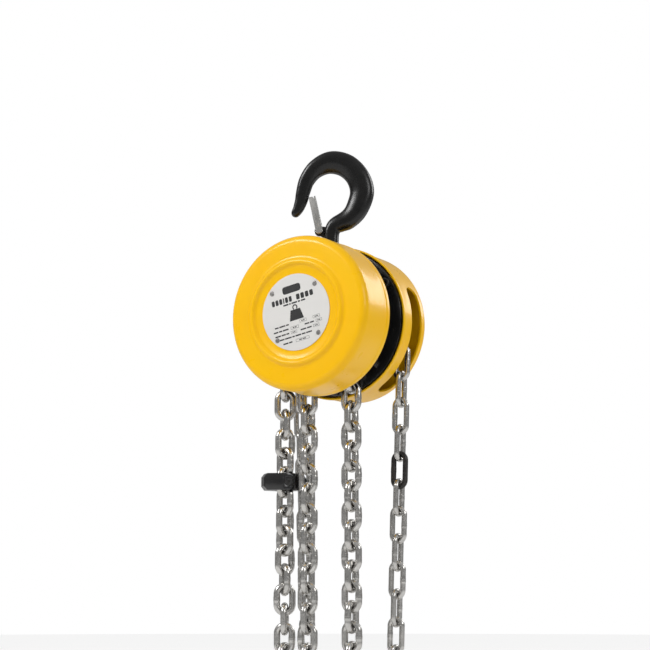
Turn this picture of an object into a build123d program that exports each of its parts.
from build123d import *
import os
from math import acos, asin, atan2, cos, degrees, pi, radians, sin, tan

# A hand chain hoist, in millimetres. The origin is the seat of the top hook, the point it hangs from.
# The gear cover faces -Y, the hand wheel cover faces +Y, +Z is up. Everything is drawn about the
# sheave, whose axis is along Y midway between the side plates, and moved to the seat at the end.

# Covers and frame
COVER_R = 71.0
SHEET_T = 2.0
CORNER_R = 7.0
FACE_Y = -60.0
BEAD_R = 46.2
BEAD_HALF = 3.5
BEAD_H = 2.4
GEAR_RIM_Y = -14.5
WHEEL_RIM_Y = 12.3
REAR_Y = 61.0
PLATE_R = 68.6
PLATE_IN = 12.0
PLATE_OUT = 17.0
PLATE_TURN = 11.0
STAYS = [(-40.0, 44.0), (40.0, 44.0), (0.0, -40.0)]
COVER_SCREW_R = 63.0
COVER_SCREW_ANGLES = [32.0, 148.0, 270.0]

# Chains: wire diameter, pitch and outer width
LOAD_WIRE = 6.0
LOAD_PITCH = 18.0
LOAD_WIDTH = 20.4
HAND_WIRE = 5.0
HAND_PITCH = 25.0
HAND_WIDTH = 17.0
LINK_PLAY = 0.3
SHEAVE_POCKETS = 4
WHEEL_POCKETS = 7
WHEEL_Y = 39.5
RETURN_X = -47.6
SLACK_DROP = 0.13
LOAD_RUN_LINKS = 18
SLACK_RUN_LINKS = 17
RETURN_RUN_LINKS = 15
HAND_RUN_LINKS = 12
JOINING_LINK = 9

# Gearing
MODULE = 1.25
PINION_TEETH = 10
GEAR_TEETH = 40
SHIFT = 0.42
CENTRES = MODULE * (PINION_TEETH + GEAR_TEETH) / 2
BACKLASH = 0.12

# Brake
RATCHET_TEETH = 16
RATCHET_ROOT_R = 33.5
RATCHET_TIP_R = 38.0
RATCHET_Y = (22.9, 26.4)
PAWL_PIVOT_R = 46.5
PAWL_TEETH = (3, 11)
RATCHET_REST = 1.4

# Suspension and hooks
HOOK_X = 2.0
SUSPENSION_Z = 43.0
SHANK_R = 7.0
TOP_SWIVEL = 25.0
YOKE_END = 27.0
BOTTOM_YOKE_END = 34.5
SEAT_Z = 141.4

# Limit stop
STOP_LENGTH = 43.0
STOP_HEIGHT = 15.5
STOP_HALF_DEPTH = 13.0


def outline(points, place):
    """Closed face from 2-D corners; a third value on a corner rounds it to that radius."""
    edges = []
    corners = []
    count = len(points)
    for i, corner in enumerate(points):
        at = Vector(*corner[:2])
        if len(corner) == 2:
            corners.append((at, None, at))
            continue
        back = (Vector(*points[i - 1][:2]) - at).normalized()
        ahead = (Vector(*points[(i + 1) % count][:2]) - at).normalized()
        half = acos(max(-1.0, min(1.0, back.dot(ahead)))) / 2
        inward = (back + ahead).normalized()
        reach = corner[2] / tan(half)
        middle = at + inward * (corner[2] / sin(half) - corner[2])
        corners.append((at + back * reach, middle, at + ahead * reach))
    for i, (start, middle, end) in enumerate(corners):
        if middle is not None:
            edges.append(Edge.make_three_point_arc(place(start), place(middle), place(end)))
        ahead = corners[(i + 1) % count][0]
        if (ahead - end).length > 1e-6:
            edges.append(Edge.make_line(place(end), place(ahead)))
    return Face(Wire(edges))


def prism_y(points, y0, y1):
    """An XZ outline extruded along Y."""
    face = outline(points, lambda p: Vector(p.X, y0, p.Y))
    return Solid.extrude(face, Vector(0, y1 - y0, 0))


def turned_y(points):
    """A (radius, y) outline turned about the Y axis."""
    return Solid.revolve(outline(points, lambda p: Vector(p.X, p.Y, 0)), 360, Axis.Y)


def turned_z(points):
    """A (radius, z) outline turned about the Z axis."""
    return Solid.revolve(outline(points, lambda p: Vector(p.X, 0, p.Y)), 360, Axis.Z)


def rod_y(radius, y0, y1, x=0.0, z=0.0):
    return Pos(x, (y0 + y1) / 2, z) * Rot(90, 0, 0) * Cylinder(radius, abs(y1 - y0))


def ring_y(outer, inner, y0, y1, x=0.0, z=0.0):
    return rod_y(outer, y0, y1, x, z) - rod_y(inner, min(y0, y1) - 1, max(y0, y1) + 1, x, z)


def rod_z(radius, z0, z1, x=0.0, y=0.0):
    return Pos(x, y, (z0 + z1) / 2) * Cylinder(radius, abs(z1 - z0))


def hexagon_y(flats, y0, y1, x=0.0, z=0.0):
    corners = [(x + flats / 1.732 * cos(k * pi / 3), z + flats / 1.732 * sin(k * pi / 3)) for k in range(6)]
    return prism_y(corners, y0, y1)


def polar(radius, angle):
    return radius * cos(radians(angle)), radius * sin(radians(angle))


def block(x0, x1, y0, y1, z0, z1):
    return Pos((x0 + x1) / 2, (y0 + y1) / 2, (z0 + z1) / 2) * Box(x1 - x0, y1 - y0, z1 - z0)


# ---------------------------------------------------------------- covers and frame


def beaded_pan(face_y, rim_y, shell, rim_grow):
    """Outer or inner surface of a deep-drawn cover as a filled solid; shell is its inset."""
    way = 1 if rim_y > face_y else -1
    face = face_y + way * shell
    radius = COVER_R - shell
    crest = face - way * BEAD_H
    half = BEAD_HALF + (0.0 if shell == 0 else -shell * 0.35)
    rim = rim_y + (0 if shell == 0 else way * 1.0)
    edges = [
        Edge.make_line((0, face, 0), (BEAD_R - half, face, 0)),
        Edge.make_three_point_arc((BEAD_R - half, face, 0), (BEAD_R, crest, 0), (BEAD_R + half, face, 0)),
    ]
    corner = max(CORNER_R - shell, 1.0)
    edges.append(Edge.make_line((BEAD_R + half, face, 0), (radius - corner, face, 0)))
    bend = corner * (1 - cos(pi / 4))
    edges.append(
        Edge.make_three_point_arc(
            (radius - corner, face, 0), (radius - bend, face + way * bend, 0), (radius, face + way * corner, 0)
        )
    )
    step = rim_y - way * 5.0
    edges.append(Edge.make_line((radius, face + way * corner, 0), (radius, step, 0)))
    edges.append(Edge.make_line((radius, step, 0), (radius + rim_grow, step + way * 1.5, 0)))
    edges.append(Edge.make_line((radius + rim_grow, step + way * 1.5, 0), (radius + rim_grow, rim, 0)))
    edges.append(Edge.make_line((radius + rim_grow, rim, 0), (0, rim, 0)))
    edges.append(Edge.make_line((0, rim, 0), (0, face, 0)))
    return Solid.revolve(Face(Wire(edges)), 360, Axis.Y)


def cover_lugs(plate_face):
    """Tapped lugs welded inside a cover, standing on the side plate."""
    way = 1 if plate_face > 0 else -1
    lugs = []
    for angle in COVER_SCREW_ANGLES:
        x, z = polar(COVER_SCREW_R, angle)
        lug = Rot(0, -angle, 0) * block(58, 69.6, -6, 6, -6, 6)
        lug = Pos(0, plate_face + way * 6.05, 0) * lug
        lugs.append(lug - rod_y(2.1, plate_face - way, plate_face + way * 20, x, z))
    return lugs


def gear_cover():
    cover = beaded_pan(FACE_Y, GEAR_RIM_Y, 0, 0.5) - beaded_pan(FACE_Y, GEAR_RIM_Y, SHEET_T, 0.5)
    for lug in cover_lugs(-PLATE_OUT):
        cover += lug
    for x, z in rivet_points():
        cover -= rod_y(1.3, FACE_Y - 1, FACE_Y + SHEET_T + 1, x, z)
    return cover


def rivet_points():
    return [polar(31.2, PLATE_TURN + angle) for angle in (40.0, 132.5, 221.5, 308.0)]


def nameplate():
    plate = rod_y(35.0, FACE_Y - 0.62, FACE_Y - 0.02)
    for x, z in rivet_points():
        plate -= rod_y(1.3, FACE_Y - 1, FACE_Y + 1, x, z)
    return plate


def nameplate_rivets():
    rivets = []
    for x, z in rivet_points():
        head = Pos(x, 0, z) * turned_y(
            [(0, FACE_Y - 1.6), (1.6, FACE_Y - 1.6, 0.7), (2.3, FACE_Y - 0.64), (0, FACE_Y - 0.64)]
        )
        rivets.append(head + rod_y(1.27, FACE_Y - 0.7, FACE_Y + SHEET_T + 0.5, x, z))
    return rivets


def slot_angles():
    """End centres of the two hand chain slots, as angles about the axis."""
    return [(19.4, -55.5), (160.6, 235.5)]


def wheel_cover():
    cover = beaded_pan(REAR_Y, WHEEL_RIM_Y, 0, 1.0) - beaded_pan(REAR_Y, WHEEL_RIM_Y, SHEET_T, 1.0)
    half = 10.0
    for start, end in slot_angles():
        low, high = min(start, end), max(start, end)
        reach = 90.0
        count = 4
        fan = [(0.0, 0.0)]
        for k in range(count + 1):
            fan.append(polar(reach, low + (high - low) * k / count))
        cover -= prism_y(fan, WHEEL_Y - half, WHEEL_Y + half) - rod_y(55, 0, 60)
        for angle in (start, end):
            x, z = polar(COVER_R, angle)
            end_cut = Pos(x, WHEEL_Y, z) * Rot(0, 90 - angle, 0) * Cylinder(half, 20)
            cover -= end_cut
    for lug in cover_lugs(PLATE_OUT):
        cover += lug
    return cover


def cover_screws():
    """Socket screws, heads in the gap between the side plates."""
    screws = []
    for side in (-1, 1):
        for angle in COVER_SCREW_ANGLES:
            x, z = polar(COVER_SCREW_R, angle)
            screw = rod_y(4.2, side * 8.2, side * 11.98, x, z) + rod_y(2.05, side * 11.5, side * 27, x, z)
            screw -= hexagon_y(4.0, side * 8.1, side * 10.4, x, z)
            screws.append(screw)
    return screws


def side_plate(side):
    near, far = sorted((side * PLATE_IN, side * PLATE_OUT))
    plate = rod_y(PLATE_R, near, far) - rod_y(19.02, near - 1, far + 1)
    for x, z in STAYS:
        plate -= rod_y(4.02, near - 1, far + 1, x, z)
    for angle in COVER_SCREW_ANGLES:
        x, z = polar(COVER_SCREW_R, angle)
        plate -= rod_y(2.7, near - 1, far + 1, x, z)
    plate -= rod_y(5.04, near - 1, far + 1, HOOK_X, SUSPENSION_Z)
    plate -= rod_y(3.42, near - 1, far + 1, RETURN_X, ANCHOR_PIN_Z)
    for x in (-ROLLER_X, ROLLER_X):
        plate -= rod_y(3.52, near - 1, far + 1, x, ROLLER_Z)
    if side < 0:
        for x in (-CENTRES, CENTRES):
            plate -= rod_y(6.02, near - 1, far + 1, x, 0)
        for x, z in GEARCASE_SCREWS:
            plate -= rod_y(2.0, near - 1, far + 1, x, z)
    else:
        for tooth in PAWL_TEETH:
            x, z = pawl_pivot(tooth)
            plate -= rod_y(3.02, near - 1, far + 1, x, z)
        for x, z in BRAKE_SCREWS:
            plate -= rod_y(2.0, near - 1, far + 1, x, z)
    return plate


def stay_bolts():
    """Shouldered spacer bolts that hold the two side plates apart."""
    profile = [
        (0, -22.5), (3.4, -22.5), (4.0, -21.9), (4.0, -PLATE_IN), (5.5, -PLATE_IN + 0.02),
        (5.5, PLATE_IN - 0.02), (4.0, PLATE_IN), (4.0, 21.9), (3.4, 22.5), (0, 22.5),
    ]
    return [Pos(x, 0, z) * turned_y(profile) for x, z in STAYS]


def stay_nuts():
    nuts = []
    for x, z in STAYS:
        for side in (-1, 1):
            nut = hexagon_y(12.0, side * 17.02, side * 21.4, x, z)
            nuts.append(nut - rod_y(4.02, side * 16, side * 23, x, z))
    return nuts


# ---------------------------------------------------------------- chains


def link(wire, pitch, width):
    """One link along Z, lying in the XZ plane, its centre at the origin."""
    crown = (width - wire) / 2
    straight = (pitch + LINK_PLAY + wire) / 2 - crown
    path = Wire(
        [
            Edge.make_line((crown, 0, -straight), (crown, 0, straight)),
            Edge.make_three_point_arc((crown, 0, straight), (0, 0, straight + crown), (-crown, 0, straight)),
            Edge.make_line((-crown, 0, straight), (-crown, 0, -straight)),
            Edge.make_three_point_arc((-crown, 0, -straight), (0, 0, -straight - crown), (crown, 0, -straight)),
        ]
    )
    ring = Plane(origin=(crown, 0, -straight), z_dir=(0, 0, 1)) * Circle(wire / 2)
    return sweep(ring, path=path)


def reach(wire, pitch, flat):
    """Distance from a link's centre to where it hinges; flat links hinge at their own crown wire."""
    crown = (pitch + LINK_PLAY + wire) / 2
    return crown if flat else pitch - crown


def follow(x, z, heading, flat, bends, wire, pitch):
    """Links that bend about Y: centre, heading from +X towards +Z, and whether the link lies flat."""
    places = [(x, z, heading, flat)]
    for bend in bends:
        before = reach(wire, pitch, flat)
        flat = not flat
        after = reach(wire, pitch, flat)
        x += before * cos(radians(heading)) + after * cos(radians(heading + bend))
        z += before * sin(radians(heading)) + after * sin(radians(heading + bend))
        heading += bend
        places.append((x, z, heading, flat))
    return places


def wheel_radius(wire, pitch, pockets):
    """Radius through the hinge points of a chain that lies in this many pockets."""
    low, high = pitch / 2, 10 * pitch
    for _ in range(60):
        radius = (low + high) / 2
        turn = asin(reach(wire, pitch, True) / radius) + asin(reach(wire, pitch, False) / radius)
        if turn > pi / pockets:
            low = radius
        else:
            high = radius
    return radius


def centre_radius(wire, pitch, pockets, flat):
    hinge = wheel_radius(wire, pitch, pockets)
    return (hinge**2 - reach(wire, pitch, flat) ** 2) ** 0.5


def placed_link(shape, place, y, twist=0.0):
    """A link set on its centre and heading; twist turns it further about its own length."""
    x, z, heading, flat = place
    return Pos(x, y, z) * Rot(0, 90 - heading, 0) * Rot(0, 0, 90.0 * flat + twist) * shape


SHEAVE_STEP = 180.0 / SHEAVE_POCKETS
WHEEL_STEP = 180.0 / WHEEL_POCKETS
LOAD_UPRIGHT_R = centre_radius(LOAD_WIRE, LOAD_PITCH, SHEAVE_POCKETS, False)
LOAD_FLAT_R = centre_radius(LOAD_WIRE, LOAD_PITCH, SHEAVE_POCKETS, True)
HAND_FLAT_R = centre_radius(HAND_WIRE, HAND_PITCH, WHEEL_POCKETS, True)
LOAD_X = LOAD_UPRIGHT_R
ROLLER_AT = LOAD_X + LOAD_WIDTH / 2 + 1.3 + 7.0
ROLLER_X = ROLLER_AT * cos(radians(25))
ROLLER_Z = ROLLER_AT * sin(radians(25))
LINK_INNER = (LOAD_PITCH + LINK_PLAY) / 2
ANCHOR_LINK_Z = (LOAD_PITCH - SLACK_DROP) * RETURN_RUN_LINKS - (LOAD_PITCH + SLACK_DROP) * SLACK_RUN_LINKS
ANCHOR_PIN_Z = ANCHOR_LINK_Z + LINK_INNER - 3.4 - 0.12
CHAIN_PIN_Z = -LOAD_PITCH * LOAD_RUN_LINKS - LINK_INNER + 3.5 + 0.12
GEARCASE_SCREWS = [(-19.0, 33.8), (19.0, 33.8), (-19.0, -33.8), (19.0, -33.8)]
BRAKE_SCREWS = [polar(60.2, angle) for angle in (75.0, 195.0, 315.0)]


def load_chain():
    """Links over the sheave, the lifting run, and the slack run with its return."""
    shape = link(LOAD_WIRE, LOAD_PITCH, LOAD_WIDTH)
    arc = follow(LOAD_X, 0, 90, False, [SHEAVE_STEP] * SHEAVE_POCKETS, LOAD_WIRE, LOAD_PITCH)
    over = [placed_link(shape, place, 0) for place in arc]
    down = follow(LOAD_X, 0, 270, False, [0.0] * LOAD_RUN_LINKS, LOAD_WIRE, LOAD_PITCH)[1:]
    over.append(placed_link(shape, down[0], 0))
    lifting = [placed_link(shape, place, 0) for place in down[1:]]
    flat, upright = reach(LOAD_WIRE, LOAD_PITCH, True), reach(LOAD_WIRE, LOAD_PITCH, False)
    turn = degrees(asin((-LOAD_X - RETURN_X - 2 * flat) / (4 * upright)))
    bends = [0.0] * SLACK_RUN_LINKS + [-turn, turn - 90, turn - 90, -turn] + [0.0] * RETURN_RUN_LINKS
    slack = follow(-LOAD_X, 0, 270, False, bends, LOAD_WIRE, LOAD_PITCH)[1:]
    links = []
    for k, (x, z, heading, flat) in enumerate(slack):
        past_loop = max(k - SLACK_RUN_LINKS - 3, 0)
        to_anchor = len(slack) - 1 - k
        twist = min(past_loop * 12.5, 75.0, to_anchor * 15.0)
        drop = SLACK_DROP * (min(k + 1, SLACK_RUN_LINKS) + past_loop)
        links.append(placed_link(shape, (x, z - drop, heading, flat), 0, twist))
    over.append(links.pop(0))
    return over, lifting, links


def hand_chain_half(lean):
    """Right half of the endless hand chain, from the top of the wheel to its lowest link."""
    bends = [-WHEEL_STEP] * 3 + [-WHEEL_STEP / 2 - lean] + [0.0] * (HAND_RUN_LINKS - 1)
    bends += [-(90.0 - lean) * share for share in (0.3, 0.35, 0.35)]
    return follow(0, HAND_FLAT_R, 0, True, bends, HAND_WIRE, HAND_PITCH)


def hand_chain():
    """Links over the wheel, the two hanging runs, and the dark joining link."""
    low, high = 0.0, 8.0
    for _ in range(50):
        lean = (low + high) / 2
        if hand_chain_half(lean)[-1][0] > 0:
            low = lean
        else:
            high = lean
    shape = link(HAND_WIRE, HAND_PITCH, HAND_WIDTH)
    places = hand_chain_half(lean)
    over, runs, joining = [], [], None
    for k, place in enumerate(places):
        x, z, heading, flat = place
        right = placed_link(shape, place, WHEEL_Y)
        mirrored = placed_link(shape, (-x, z, -heading, flat), WHEEL_Y)
        group = over if k < 6 else runs
        if k == JOINING_LINK:
            joining = right
        else:
            group.append(right)
        if 0 < k < len(places) - 1:
            group.append(mirrored)
    return over, runs, joining


# ---------------------------------------------------------------- sheave and gears


def pocket(wire, pitch, width, radius, floor, reach):
    """Cutter for one flat link, its centre line tangent at +X, opening outwards."""
    length = (pitch + LINK_PLAY) / 2 + wire + 1.2
    half = width / 2 + 0.5
    corners = [(-half, -length, half - 0.1), (half, -length, half - 0.1), (half, length, half - 0.1),
               (-half, length, half - 0.1)]
    face = outline(corners, lambda p: Vector(radius - floor, p.X, p.Y))
    return Solid.extrude(face, Vector(reach, 0, 0))


def load_sheave():
    body = turned_y(
        [
            (6.05, -29.4), (10.9, -29.4), (10.9, -18.2), (13.95, -17.2), (13.95, -11.9), (16.5, -11.5),
            (24.5, -11.5, 1.5), (25.5, -4.0, 0.8), (10.5, -4.0), (10.5, 4.0), (25.5, 4.0, 0.8), (24.5, 11.5, 1.5),
            (16.5, 11.5), (13.95, 11.9), (13.95, 17.4), (6.05, 17.4),
        ]
    )
    for k in range(SHEAVE_POCKETS):
        cut = pocket(LOAD_WIRE, LOAD_PITCH, LOAD_WIDTH, LOAD_FLAT_R, LOAD_WIRE / 2 + 0.8, 20)
        body -= Rot(0, -(45 + 90 * k), 0) * cut
    return body


def gear(teeth, shift, y0, y1):
    """Involute spur gear on the Y axis with a tooth centred on +X."""
    pitch_r = MODULE * teeth / 2
    base_r = pitch_r * cos(radians(20))
    tip_r = pitch_r + MODULE * (0.9 + shift)
    root_r = pitch_r - MODULE * (1.25 - shift)
    inv = tan(radians(20)) - radians(20)
    thickness = MODULE * (pi / 2 + 2 * shift * tan(radians(20))) - BACKLASH
    half_base = thickness / (2 * pitch_r) + inv
    start_r = max(base_r, root_r) + 1e-3
    flank = []
    for k in range(4):
        r = start_r + (tip_r - start_r) * k / 3
        pressure = acos(base_r / r)
        flank.append((r, half_base - (tan(pressure) - pressure)))
    edges = []

    def at(r, angle):
        return Vector(r * cos(angle), y0, r * sin(angle))

    for k in range(teeth):
        centre = 2 * pi * k / teeth
        up = [at(r, centre - a) for r, a in flank]
        down = [at(r, centre + a) for r, a in reversed(flank)]
        foot_a = at(root_r, centre - flank[0][1])
        foot_b = at(root_r, centre + flank[0][1])
        edges.append(Edge.make_line(foot_a, up[0]))
        edges.append(Edge.make_spline(up))
        edges.append(Edge.make_line(up[-1], down[0]))
        edges.append(Edge.make_spline(down))
        edges.append(Edge.make_line(down[-1], foot_b))
        edges.append(Edge.make_line(foot_b, at(root_r, centre + 2 * pi / teeth - flank[0][1])))
    return Solid.extrude(Face(Wire(edges)), Vector(0, y1 - y0, 0))


def load_gear():
    body = gear(GEAR_TEETH, -SHIFT, -29.0, -18.6)
    body -= turned_y([(15, -29.5), (20.5, -29.5), (20.5, -25), (15, -25)])
    return body - rod_y(10.92, -30, -18)


def intermediate_gear(side):
    """Two-step gear: a 40-tooth wheel and a 10-tooth pinion on one shaft."""
    wheel = Rot(0, 180.0 / GEAR_TEETH, 0) * gear(GEAR_TEETH, -SHIFT, -39.0, -31.0)
    wheel -= turned_y([(10, -39.5), (19.5, -39.5), (19.5, -36.5), (10, -36.5)])
    pinion = Rot(0, 180.0 / PINION_TEETH, 0) * gear(PINION_TEETH, SHIFT, -31.0, -18.4)
    shaft = rod_y(3.98, -45.8, -12.2)
    body = wheel + pinion + shaft
    if side < 0:
        body = Rot(0, 180, 0) * body
    return Pos(side * CENTRES, 0, 0) * body


def drive_shaft():
    shaft = turned_y(
        [
            (0, -45.8), (3.5, -45.8), (3.98, -45.3), (3.98, -39.6), (5.0, -39.6), (5.0, -30.4), (5.98, -30.4),
            (5.98, 44), (4.0, 44), (4.0, 55.0), (3.5, 55.5), (0, 55.5),
        ]
    )
    shaft += gear(PINION_TEETH, SHIFT, -39.5, -30.4)
    return shaft - rod_z(1.15, -8, 8, 0, 52.2)


def sheave_bearings():
    """Plain-flanged bearings of the sheave, pressed into the side plates."""
    rings = []
    for side in (-1, 1):
        ring = ring_y(19.0, 14.0, side * 12.05, side * 17.0)
        rings.append(ring)
    return rings


def lobed(radius, y0, y1):
    """Two-lobed outline round both intermediate gears."""
    shape = rod_y(radius, y0, y1, -CENTRES, 0) + rod_y(radius, y0, y1, CENTRES, 0)
    return shape + block(-CENTRES, CENTRES, min(y0, y1), max(y0, y1), -radius, radius)


def gearcase():
    case = lobed(30.0, -17.05, -46.0) - lobed(28.5, -16.0, -44.5)
    flange = lobed(32.0, -17.05, -18.6)
    for x, z in GEARCASE_SCREWS:
        flange += rod_y(5.0, -17.05, -18.6, x, z)
    case += flange - lobed(29.0, -16, -19)
    case -= rod_y(8.0, -16, -20, 0, -40)
    for x in (-CENTRES, 0.0, CENTRES):
        case -= rod_y(6.02, -43, -47, x, 0)
    for x, z in GEARCASE_SCREWS:
        case -= rod_y(2.1, -16, -20, x, z)
    return case


def inner_cover_screws():
    """Pan-head screws of the gearcase and of the brake cover."""
    screws = []
    for (x, z), side in [(p, -1) for p in GEARCASE_SCREWS] + [(p, 1) for p in BRAKE_SCREWS]:
        seat = side * (18.62 if side < 0 else 18.32)
        screw = rod_y(2.9, seat, seat + side * 2.2, x, z) + rod_y(1.97, side * 12.5, seat + side * 0.5, x, z)
        slot = Pos(x, seat + side * 1.9, z) * Box(8, 1.4, 1.0)
        screws.append(screw - slot)
    return screws


def gear_bushes():
    bushes = []
    for x in (-CENTRES, CENTRES):
        bushes.append(ring_y(6.0, 4.02, -17.0, -12.1, x, 0))
    for x in (-CENTRES, 0.0, CENTRES):
        bushes.append(ring_y(6.0, 4.02, -46.6, -41.2, x, 0))
    return bushes


# ---------------------------------------------------------------- brake and hand wheel


def friction_hub():
    hub = turned_y([(6.0, 18.0), (30.0, 18.0, 0.8), (30.0, 20.9), (13.0, 20.9), (13.0, 28.2), (6.0, 28.2)])
    return hub


def friction_discs():
    return [ring_y(29.0, 13.2, 20.95, 22.8), ring_y(29.0, 13.2, 26.5, 28.25)]


def ratchet_disc():
    """Disc resting part of a tooth away from its pawls, so that either pawl can lift clear."""
    corners = []
    for k in range(RATCHET_TEETH):
        start = 360.0 / RATCHET_TEETH * k + RATCHET_REST
        corners.append(polar(RATCHET_ROOT_R, start))
        corners.append(polar(RATCHET_TIP_R, start))
        corners.append(polar(RATCHET_TIP_R - 0.4, start + 2.0))
    return prism_y(corners, *RATCHET_Y) - rod_y(13.06, 20, 30)


def pawl_pivot(tooth):
    return polar(PAWL_PIVOT_R, 360.0 / RATCHET_TEETH * tooth - 25.0)


def pawl(tooth):
    """Lever whose nose stands against the steep face of one ratchet tooth."""
    face = 360.0 / RATCHET_TEETH * tooth
    px, pz = pawl_pivot(tooth)
    nose = [polar(34.3, face - 0.7), polar(39.2, face - 0.7), polar(41.2, face - 5.0)]
    back = polar(51.6, face - 24.0)
    low = polar(41.2, face - 25.5)
    lever = prism_y([nose[0], nose[1], nose[2], back, (px, pz), low], *RATCHET_Y)
    lever += rod_y(5.4, RATCHET_Y[0], RATCHET_Y[1], px, pz)
    return lever - rod_y(3.05, 20, 30, px, pz)


def pawl_pins():
    return [rod_y(3.0, 12.2, 27.2, *pawl_pivot(tooth)) for tooth in PAWL_TEETH]


def coil_y(radius, wire, y0, turns, pitch, leg_length):
    """Close-wound torsion coil about the Y axis with two straight legs."""
    path = Rot(-90, 0, 0) * Helix(pitch, pitch * turns, radius)
    start = path @ 0
    section = Plane(origin=start, z_dir=path % 0) * Circle(wire / 2)
    coil = sweep(section, path=path)
    for end in (0, 1):
        at = path @ end
        way = (path % end) * (1 if end else -1)
        leg = Cylinder(wire / 2, leg_length, align=(Align.CENTER, Align.CENTER, Align.MIN))
        coil += Plane(origin=at, z_dir=way) * leg
    return Pos(0, y0, 0) * coil


def pawl_spring(tooth):
    px, pz = pawl_pivot(tooth)
    turn = 360.0 / RATCHET_TEETH * tooth - 25.0
    return Pos(px, 0, pz) * Rot(0, -turn, 0) * coil_y(3.7, 0.9, 18.2, 3.0, 1.1, 6.0)


def brake_cover():
    pan = turned_y(
        [
            (55.0, 17.05), (63.6, 17.05), (63.6, 18.3), (56.4, 18.3), (56.4, 28.5), (33.0, 28.5), (33.0, 27.3),
            (55.0, 27.3),
        ]
    )
    for x, z in BRAKE_SCREWS:
        pan -= rod_y(2.1, 16, 20, x, z)
    for x, z in STAYS[:2]:
        pan -= rod_y(8.0, 16, 23.5, x, z)
    for angle in COVER_SCREW_ANGLES:
        x, z = polar(COVER_SCREW_R, angle)
        pan -= Rot(0, -angle, 0) * block(56.9, 70, 16, 20, -7, 7)
    return pan


def hand_wheel():
    y = WHEEL_Y
    body = turned_y(
        [
            (6.0, 28.4), (29.5, 28.4, 0.6), (29.5, 31.4), (27.5, 33.0), (40.0, 33.0, 2.0), (42.5, y - 10.0),
            (56.5, y - 10.0, 1.5), (57.8, y - 3.4, 0.8), (45.4, y - 3.4), (45.4, y + 3.4), (57.8, y + 3.4, 0.8),
            (56.5, y + 10.0, 1.5), (42.0, y + 10.0), (40.0, 37.5, 2.0), (17.0, 37.5), (14.0, 46.0, 1.0),
            (6.0, 46.0),
        ]
    )
    for k in range(WHEEL_POCKETS):
        cut = pocket(HAND_WIRE, HAND_PITCH, HAND_WIDTH, HAND_FLAT_R, HAND_WIRE / 2 + 0.5, 20)
        body -= Pos(0, y, 0) * Rot(0, -(90 + 2 * WHEEL_STEP * k), 0) * cut
    for k in range(5):
        x, z = polar(28.5, 72 * k + 36)
        body -= rod_y(6.0, 31.5, 45, x, z)
    return body


def castle_nut():
    nut = hexagon_y(13.0, 46.05, 53.6)
    for k in range(3):
        slot = Pos(0, 52.4, 0) * Rot(0, 60 * k + 30, 0) * Box(20, 2.6, 2.6)
        nut -= slot
    return nut - rod_y(4.02, 45, 55)


def split_pin():
    """Bent cotter through the nut slot, its eye on top and its legs spread below."""
    leg = rod_z(1.0, -8.9, 8.2, 0, 52.2)
    eye = Pos(0, 52.2, 9.6) * Rot(0, 90, 0) * Torus(1.6, 0.8)
    foot = Pos(0, 52.2, -8.9) * Rot(0, 60, 0) * Cylinder(0.8, 5.0)
    return leg + eye + foot


# ---------------------------------------------------------------- chain guides


def guide_roller(side):
    roller = turned_y([(3.55, -10.8), (7.0, -10.8, 0.8), (7.0, 10.8, 0.8), (3.55, 10.8)])
    return Pos(side * ROLLER_X, 0, ROLLER_Z) * roller


def guide_roller_pins():
    return [rod_y(3.5, -16.9, 16.9, side * ROLLER_X, ROLLER_Z) for side in (-1, 1)]


def chain_stripper():
    """Finger that stands in the sheave groove and peels the chain off it."""
    finger = prism_y([(-8.0, -46.0), (8.0, -46.0), (8.0, -7.0), (-8.0, -7.0)], -3.0, 3.0)
    finger -= rod_y(11.0, -4, 4)
    foot = prism_y([(-8.5, -47.0, 2.0), (8.5, -47.0, 2.0), (8.5, -30.0, 3.0), (-8.5, -30.0, 3.0)], -11.7, 11.7)
    foot -= rod_y(28.2, -13, 13) - rod_y(40, -3.0, 3.0)
    return finger + foot - rod_y(5.55, -13, 13, *STAYS[2])


def chain_anchor_pin():
    return rod_y(3.4, -16.9, 16.9, RETURN_X, ANCHOR_PIN_Z)


# ---------------------------------------------------------------- suspension and hooks


def yoke(pin_r, boss, window, end, half_x, slotted):
    """Cross-head: pin axis along Y at the origin, hook shank leaving along +Z."""
    corners = [
        (-boss, -boss, boss), (boss, -boss, boss), (boss, 3.0, 3.0), (half_x, window[0] - 2.0, 4.0),
        (half_x, end, 4.0), (-half_x, end, 4.0), (-half_x, window[0] - 2.0, 4.0), (-boss, 3.0, 3.0),
    ]
    body = prism_y(corners, -10.0, 10.0)
    body -= rod_y(pin_r, -12, 12)
    body -= block(-9.6, 9.6, -11, 11, window[0], window[1])
    body -= rod_z(SHANK_R + 0.06, window[1] - 1, end + 1)
    if slotted:
        body -= block(-20, 20, -3.7, 3.7, -12, 10.4)
    return body


# Hook stations: centre x, centre z, heading, half width in the hook's plane, half depth
HOOK_CENTRE = (-1.0, 52.4)
HOOK_NECK = [
    (0.0, 4.0, 90.0, 6.9, 6.9),
    (0.8, 15.0, 80.0, 7.0, 7.0),
    (5.2, 21.0, 48.0, 8.2, 7.6),
]
HOOK_BOWL = [
    (-57, 30.6, 9.2, 8.4), (-32, 29.6, 10.4, 9.0), (0, 30.1, 11.1, 9.2), (30, 29.9, 10.9, 9.2),
    (60, 30.0, 11.0, 9.0), (90, 29.4, 10.4, 8.6), (120, 27.1, 8.6, 7.8), (150, 25.4, 7.2, 6.8),
    (178, 25.6, 6.6, 6.0),
]
HOOK_TIP = [
    (-28.3, 45.2, -97.0, 5.9, 5.2), (-31.2, 37.6, -118.0, 4.9, 4.6), (-34.0, 33.0, -122.0, 3.9, 3.8),
    (-35.2, 31.1, -122.0, 2.6, 2.6), (-35.7, 30.3, -122.0, 1.0, 1.0),
]
LATCH_PIVOT = (-11.0, 15.6)
LATCH_TOP = (-17.9, 47.4)


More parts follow.
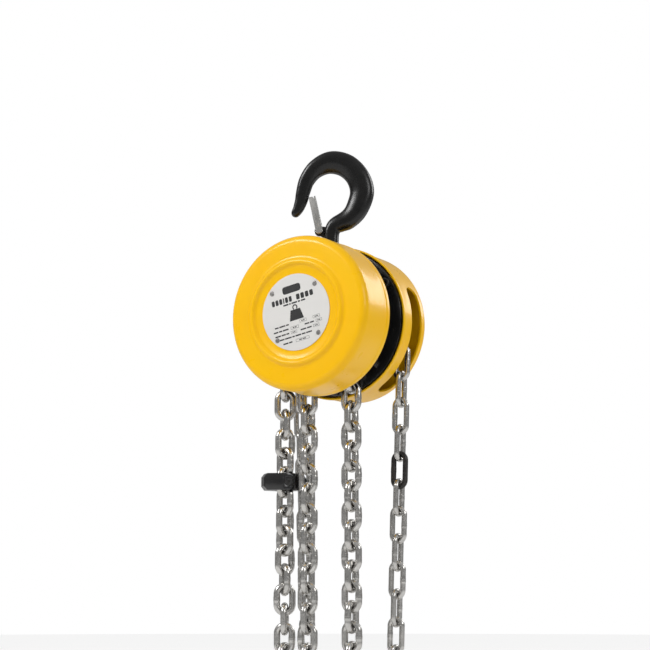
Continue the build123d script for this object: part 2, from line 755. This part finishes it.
def hook_section(x, z, heading, half, depth):
    """Forged section: broad and full on the inside of the bowl, narrower outside."""
    along = Vector(cos(radians(heading)), 0, sin(radians(heading)))
    inward = Vector(-along.Z, 0, along.X)
    points = []
    for u, v in [(1.0, 0.0), (0.72, 0.78), (0.0, 1.0), (-0.68, 0.74)]:
        points.append((u, v))
    ring = points + [(-1.0, 0.0)] + [(u, -v) for u, v in reversed(points[1:])]
    corners = [Vector(x, 0, z) + inward * (u * half) + Vector(0, v * depth, 0) for u, v in ring]
    return Face(Wire([Edge.make_spline(corners, periodic=True)]))


def hook(shank_z):
    """Shank on the Z axis with the yoke's end face at z = 0, bowl above, tip on the -X side."""
    stations = list(HOOK_NECK)
    for angle, radius, half, depth in HOOK_BOWL:
        x, z = polar(radius, angle)
        stations.append((HOOK_CENTRE[0] + x, HOOK_CENTRE[1] + z, angle + 90, half, depth))
    stations += HOOK_TIP
    body = Solid.make_loft([hook_section(*station).outer_wire() for station in stations])
    shank = turned_z(
        [(0, shank_z), (SHANK_R - 0.8, shank_z), (SHANK_R, shank_z + 0.8), (SHANK_R, 0.15), (8.6, 0.15),
         (8.6, 2.2, 1.0), (6.9, 5.2), (0, 5.2)]
    )
    px, pz = LATCH_PIVOT
    lug = prism_y([(-4.0, 8.0), (-3.0, 19.0), (px + 4.5, pz + 4.2, 1.5), (px - 3.2, pz + 3.0, 2.6),
                   (px - 2.2, pz - 3.4, 2.6)], -2.0, 2.0)
    return body + shank + lug - rod_y(2.04, -6, 6, px, pz)


def latch():
    """Pressed channel pivoted on the hook's lug, its nose resting inside the tip."""
    px, pz = LATCH_PIVOT
    run = Vector(LATCH_TOP[0] - px, LATCH_TOP[1] - pz)
    length = run.length
    tilt = degrees(atan2(run.Y, run.X))
    web = block(7.0, length, -5.6, 5.6, -3.4, -2.0)
    nose = block(length - 1.0, length + 1.4, -3.4, 3.4, -3.4, -2.0)
    body = web + nose
    for side in (-1, 1):
        flange = prism_y(
            [(-3.2, -3.4, 3.0), (length - 4.0, -3.4), (length + 0.6, -0.6, 1.0), (length + 0.6, 2.9, 1.0),
             (-3.2, 3.3, 3.1)],
            side * 5.6, side * 4.2,
        )
        body += flange
    body -= rod_y(2.04, -8, 8)
    return Pos(px, 0, pz) * Rot(0, -tilt, 0) * body


def latch_pin():
    px, pz = LATCH_PIVOT
    pin = rod_y(2.0, -5.7, 5.7, px, pz)
    for side in (-1, 1):
        pin += rod_y(2.9, side * 5.7, side * 6.7, px, pz)
    return pin


def latch_spring():
    px, pz = LATCH_PIVOT
    return Pos(px, 0, pz) * Rot(0, -150, 0) * coil_y(2.55, 0.7, -3.5, 1.0, 0.8, 4.0)


def hook_nut(z):
    """Round nut on the shank, pinned, sitting in the yoke window."""
    return rod_z(8.8, z, z + 7.6) - rod_z(SHANK_R + 0.02, z - 1, z + 9)


def thrust_washer(z):
    return rod_z(9.2, z, z + 2.2) - rod_z(SHANK_R + 0.05, z - 1, z + 4)


def top_place(shape):
    return Pos(HOOK_X, 0, SUSPENSION_Z) * shape


def top_hook_place(shape):
    return Pos(HOOK_X, 0, SUSPENSION_Z + YOKE_END) * Rot(0, 0, TOP_SWIVEL) * shape


def bottom_place(shape):
    return Pos(LOAD_X, 0, CHAIN_PIN_Z) * Rot(0, 180, 0) * shape


def bottom_hook_place(shape):
    return Pos(LOAD_X, 0, CHAIN_PIN_Z - BOTTOM_YOKE_END) * Rot(0, 180, 0) * shape


def suspension_pin():
    pin = rod_y(5.0, -17.1, 19.6, HOOK_X, SUSPENSION_Z) + rod_y(7.0, -20.0, -17.1, HOOK_X, SUSPENSION_Z)
    return pin - ring_y(6.0, 4.2, 17.3, 18.5, HOOK_X, SUSPENSION_Z)


def suspension_pin_clip():
    clip = ring_y(6.6, 4.25, 17.4, 18.4, HOOK_X, SUSPENSION_Z)
    return clip - block(HOOK_X - 2.6, HOOK_X + 2.6, 17, 19, SUSPENSION_Z - 9, SUSPENSION_Z)


# ---------------------------------------------------------------- limit stop


def stop_place(shape, link_z):
    return Pos(RETURN_X, 0, link_z) * Rot(0, 0, 45) * shape


def limit_stop_halves(link_z):
    """Two clamp halves round one link, long axis along its own X before placing."""
    end = STOP_LENGTH / 2
    tall = STOP_HEIGHT / 2
    deep = STOP_HALF_DEPTH
    corners = [
        (-end, -tall + 3.5), (-end + 3.0, -tall), (end - 6.0, -tall), (end, 0.0), (end - 6.0, tall),
        (-end + 3.0, tall), (-end, tall - 3.5),
    ]
    plan = [
        (-end - 1, -5.0), (-5.5, -deep), (3.5, -deep), (12.1, -7.0), (end + 1, -4.0), (end + 1, -0.1),
        (-end - 1, -0.1),
    ]
    halves = []
    for side in (1, -1):
        wedge = outline([(x, side * y) for x, y in plan], lambda p: Vector(p.X, p.Y, -tall - 1))
        body = prism_y(corners, -20, 20) & Solid.extrude(wedge, Vector(0, 0, 2 * tall + 2))
        body -= Rot(0, 0, 30) * block(-10.8, 10.8, -3.5, 3.5, -20, 20)
        for z0, z1 in ((2.5, 20), (-20, -2.5)):
            body -= Rot(0, 0, 30) * block(-3.5, 3.5, -10.8, 10.8, z0, z1)
        body -= rod_y(2.1, -20, 20)
        body -= rod_y(3.9, -side * (deep - 1.6), -side * 20)
        halves.append(stop_place(body, link_z))
    return halves


def limit_stop_bolt(link_z):
    seat = STOP_HALF_DEPTH - 1.58
    bolt = rod_y(2.0, -seat, seat + 1.6) + rod_y(3.5, -seat - 2.4, -seat)
    bolt -= hexagon_y(3.0, -seat - 2.5, -seat - 1.0)
    nut = hexagon_y(6.6, seat + 0.02, seat + 1.9) - rod_y(2.02, seat - 1, seat + 3)
    return [stop_place(bolt, link_z), stop_place(nut, link_z)]


# ---------------------------------------------------------------- assembly

load_over, load_run, slack_links = load_chain()
hand_over, hand_runs, joining_link = hand_chain()
stop_link = ANCHOR_LINK_Z - 6 * (LOAD_PITCH - SLACK_DROP)

NODES = {
    "gear_cover": gear_cover(),
    "nameplate": nameplate(),
    "nameplate_rivets": nameplate_rivets(),
    "cover_screws": cover_screws(),
    "gear_side_plate": side_plate(-1),
    "wheel_side_plate": side_plate(1),
    "stay_bolts": stay_bolts(),
    "stay_nuts": stay_nuts(),
    "load_sheave": load_sheave(),
    "sheave_bearings": sheave_bearings(),
    "load_gear": load_gear(),
    "drive_shaft": drive_shaft(),
    "intermediate_gear_left": intermediate_gear(-1),
    "intermediate_gear_right": intermediate_gear(1),
    "gearcase": gearcase(),
    "inner_cover_screws": inner_cover_screws(),
    "gear_bushes": gear_bushes(),
    "friction_hub": friction_hub(),
    "friction_discs": friction_discs(),
    "ratchet_disc": ratchet_disc(),
    "pawl_upper": pawl(PAWL_TEETH[0]),
    "pawl_lower": pawl(PAWL_TEETH[1]),
    "pawl_pins": pawl_pins(),
    "pawl_spring_upper": pawl_spring(PAWL_TEETH[0]),
    "pawl_spring_lower": pawl_spring(PAWL_TEETH[1]),
    "brake_cover": brake_cover(),
    "hand_wheel": hand_wheel(),
    "castle_nut": castle_nut(),
    "split_pin": split_pin(),
    "wheel_cover": wheel_cover(),
    "guide_roller_left": guide_roller(-1),
    "guide_roller_right": guide_roller(1),
    "guide_roller_pins": guide_roller_pins(),
    "chain_stripper": chain_stripper(),
    "chain_anchor_pin": chain_anchor_pin(),
    "suspension_pin": suspension_pin(),
    "suspension_pin_clip": suspension_pin_clip(),
    "top_yoke": top_place(yoke(5.06, 8.6, (7.6, 19.0), YOKE_END, 13.0, False)),
    "top_hook": top_hook_place(hook(-18.6)),
    "top_hook_nut": top_place(hook_nut(8.9)),
    "top_thrust_washer": top_place(thrust_washer(16.65)),
    "top_latch": top_hook_place(latch()),
    "top_latch_pin": top_hook_place(latch_pin()),
    "top_latch_spring": top_hook_place(latch_spring()),
    "load_chain_over_sheave": load_over,
    "load_chain_lifting_run": load_run,
    "load_chain_slack_run": slack_links,
    "hand_chain_over_wheel": hand_over,
    "hand_chain_runs": hand_runs,
    "hand_chain_joining_link": joining_link,
    "limit_stop_halves": limit_stop_halves(stop_link),
    "limit_stop_bolt": limit_stop_bolt(stop_link),
    "bottom_yoke": bottom_place(yoke(3.54, 6.6, (13.6, 25.4), BOTTOM_YOKE_END, 13.0, True)),
    "chain_pin": rod_y(3.5, -9.9, 9.9, LOAD_X, CHAIN_PIN_Z),
    "bottom_hook": bottom_hook_place(hook(-20.2)),
    "bottom_hook_nut": bottom_place(hook_nut(15.2)),
    "bottom_thrust_washer": bottom_place(thrust_washer(23.1)),
    "bottom_latch": bottom_hook_place(latch()),
    "bottom_latch_pin": bottom_hook_place(latch_pin()),
    "bottom_latch_spring": bottom_hook_place(latch_spring()),
}


def as_shape(item):
    """One compound of loose solids for a group, or the single solid."""
    parts = item if isinstance(item, list) else [item]
    seat = Pos(-HOOK_X, 0, -SEAT_Z)
    solids = [seat * solid for part in parts for solid in part.solids()]
    return solids[0] if len(solids) == 1 else Compound(solids)


os.makedirs("parts", exist_ok=True)
for name, item in NODES.items():
    export_step(as_shape(item), f"parts/{name}.step")
print(len(NODES), "nodes; load chain at x", round(LOAD_X, 3), "hand wheel chain radius", round(HAND_FLAT_R, 3))
print("rollers", round(ROLLER_X, 3), round(ROLLER_Z, 3), "chain pin", round(CHAIN_PIN_Z, 3))
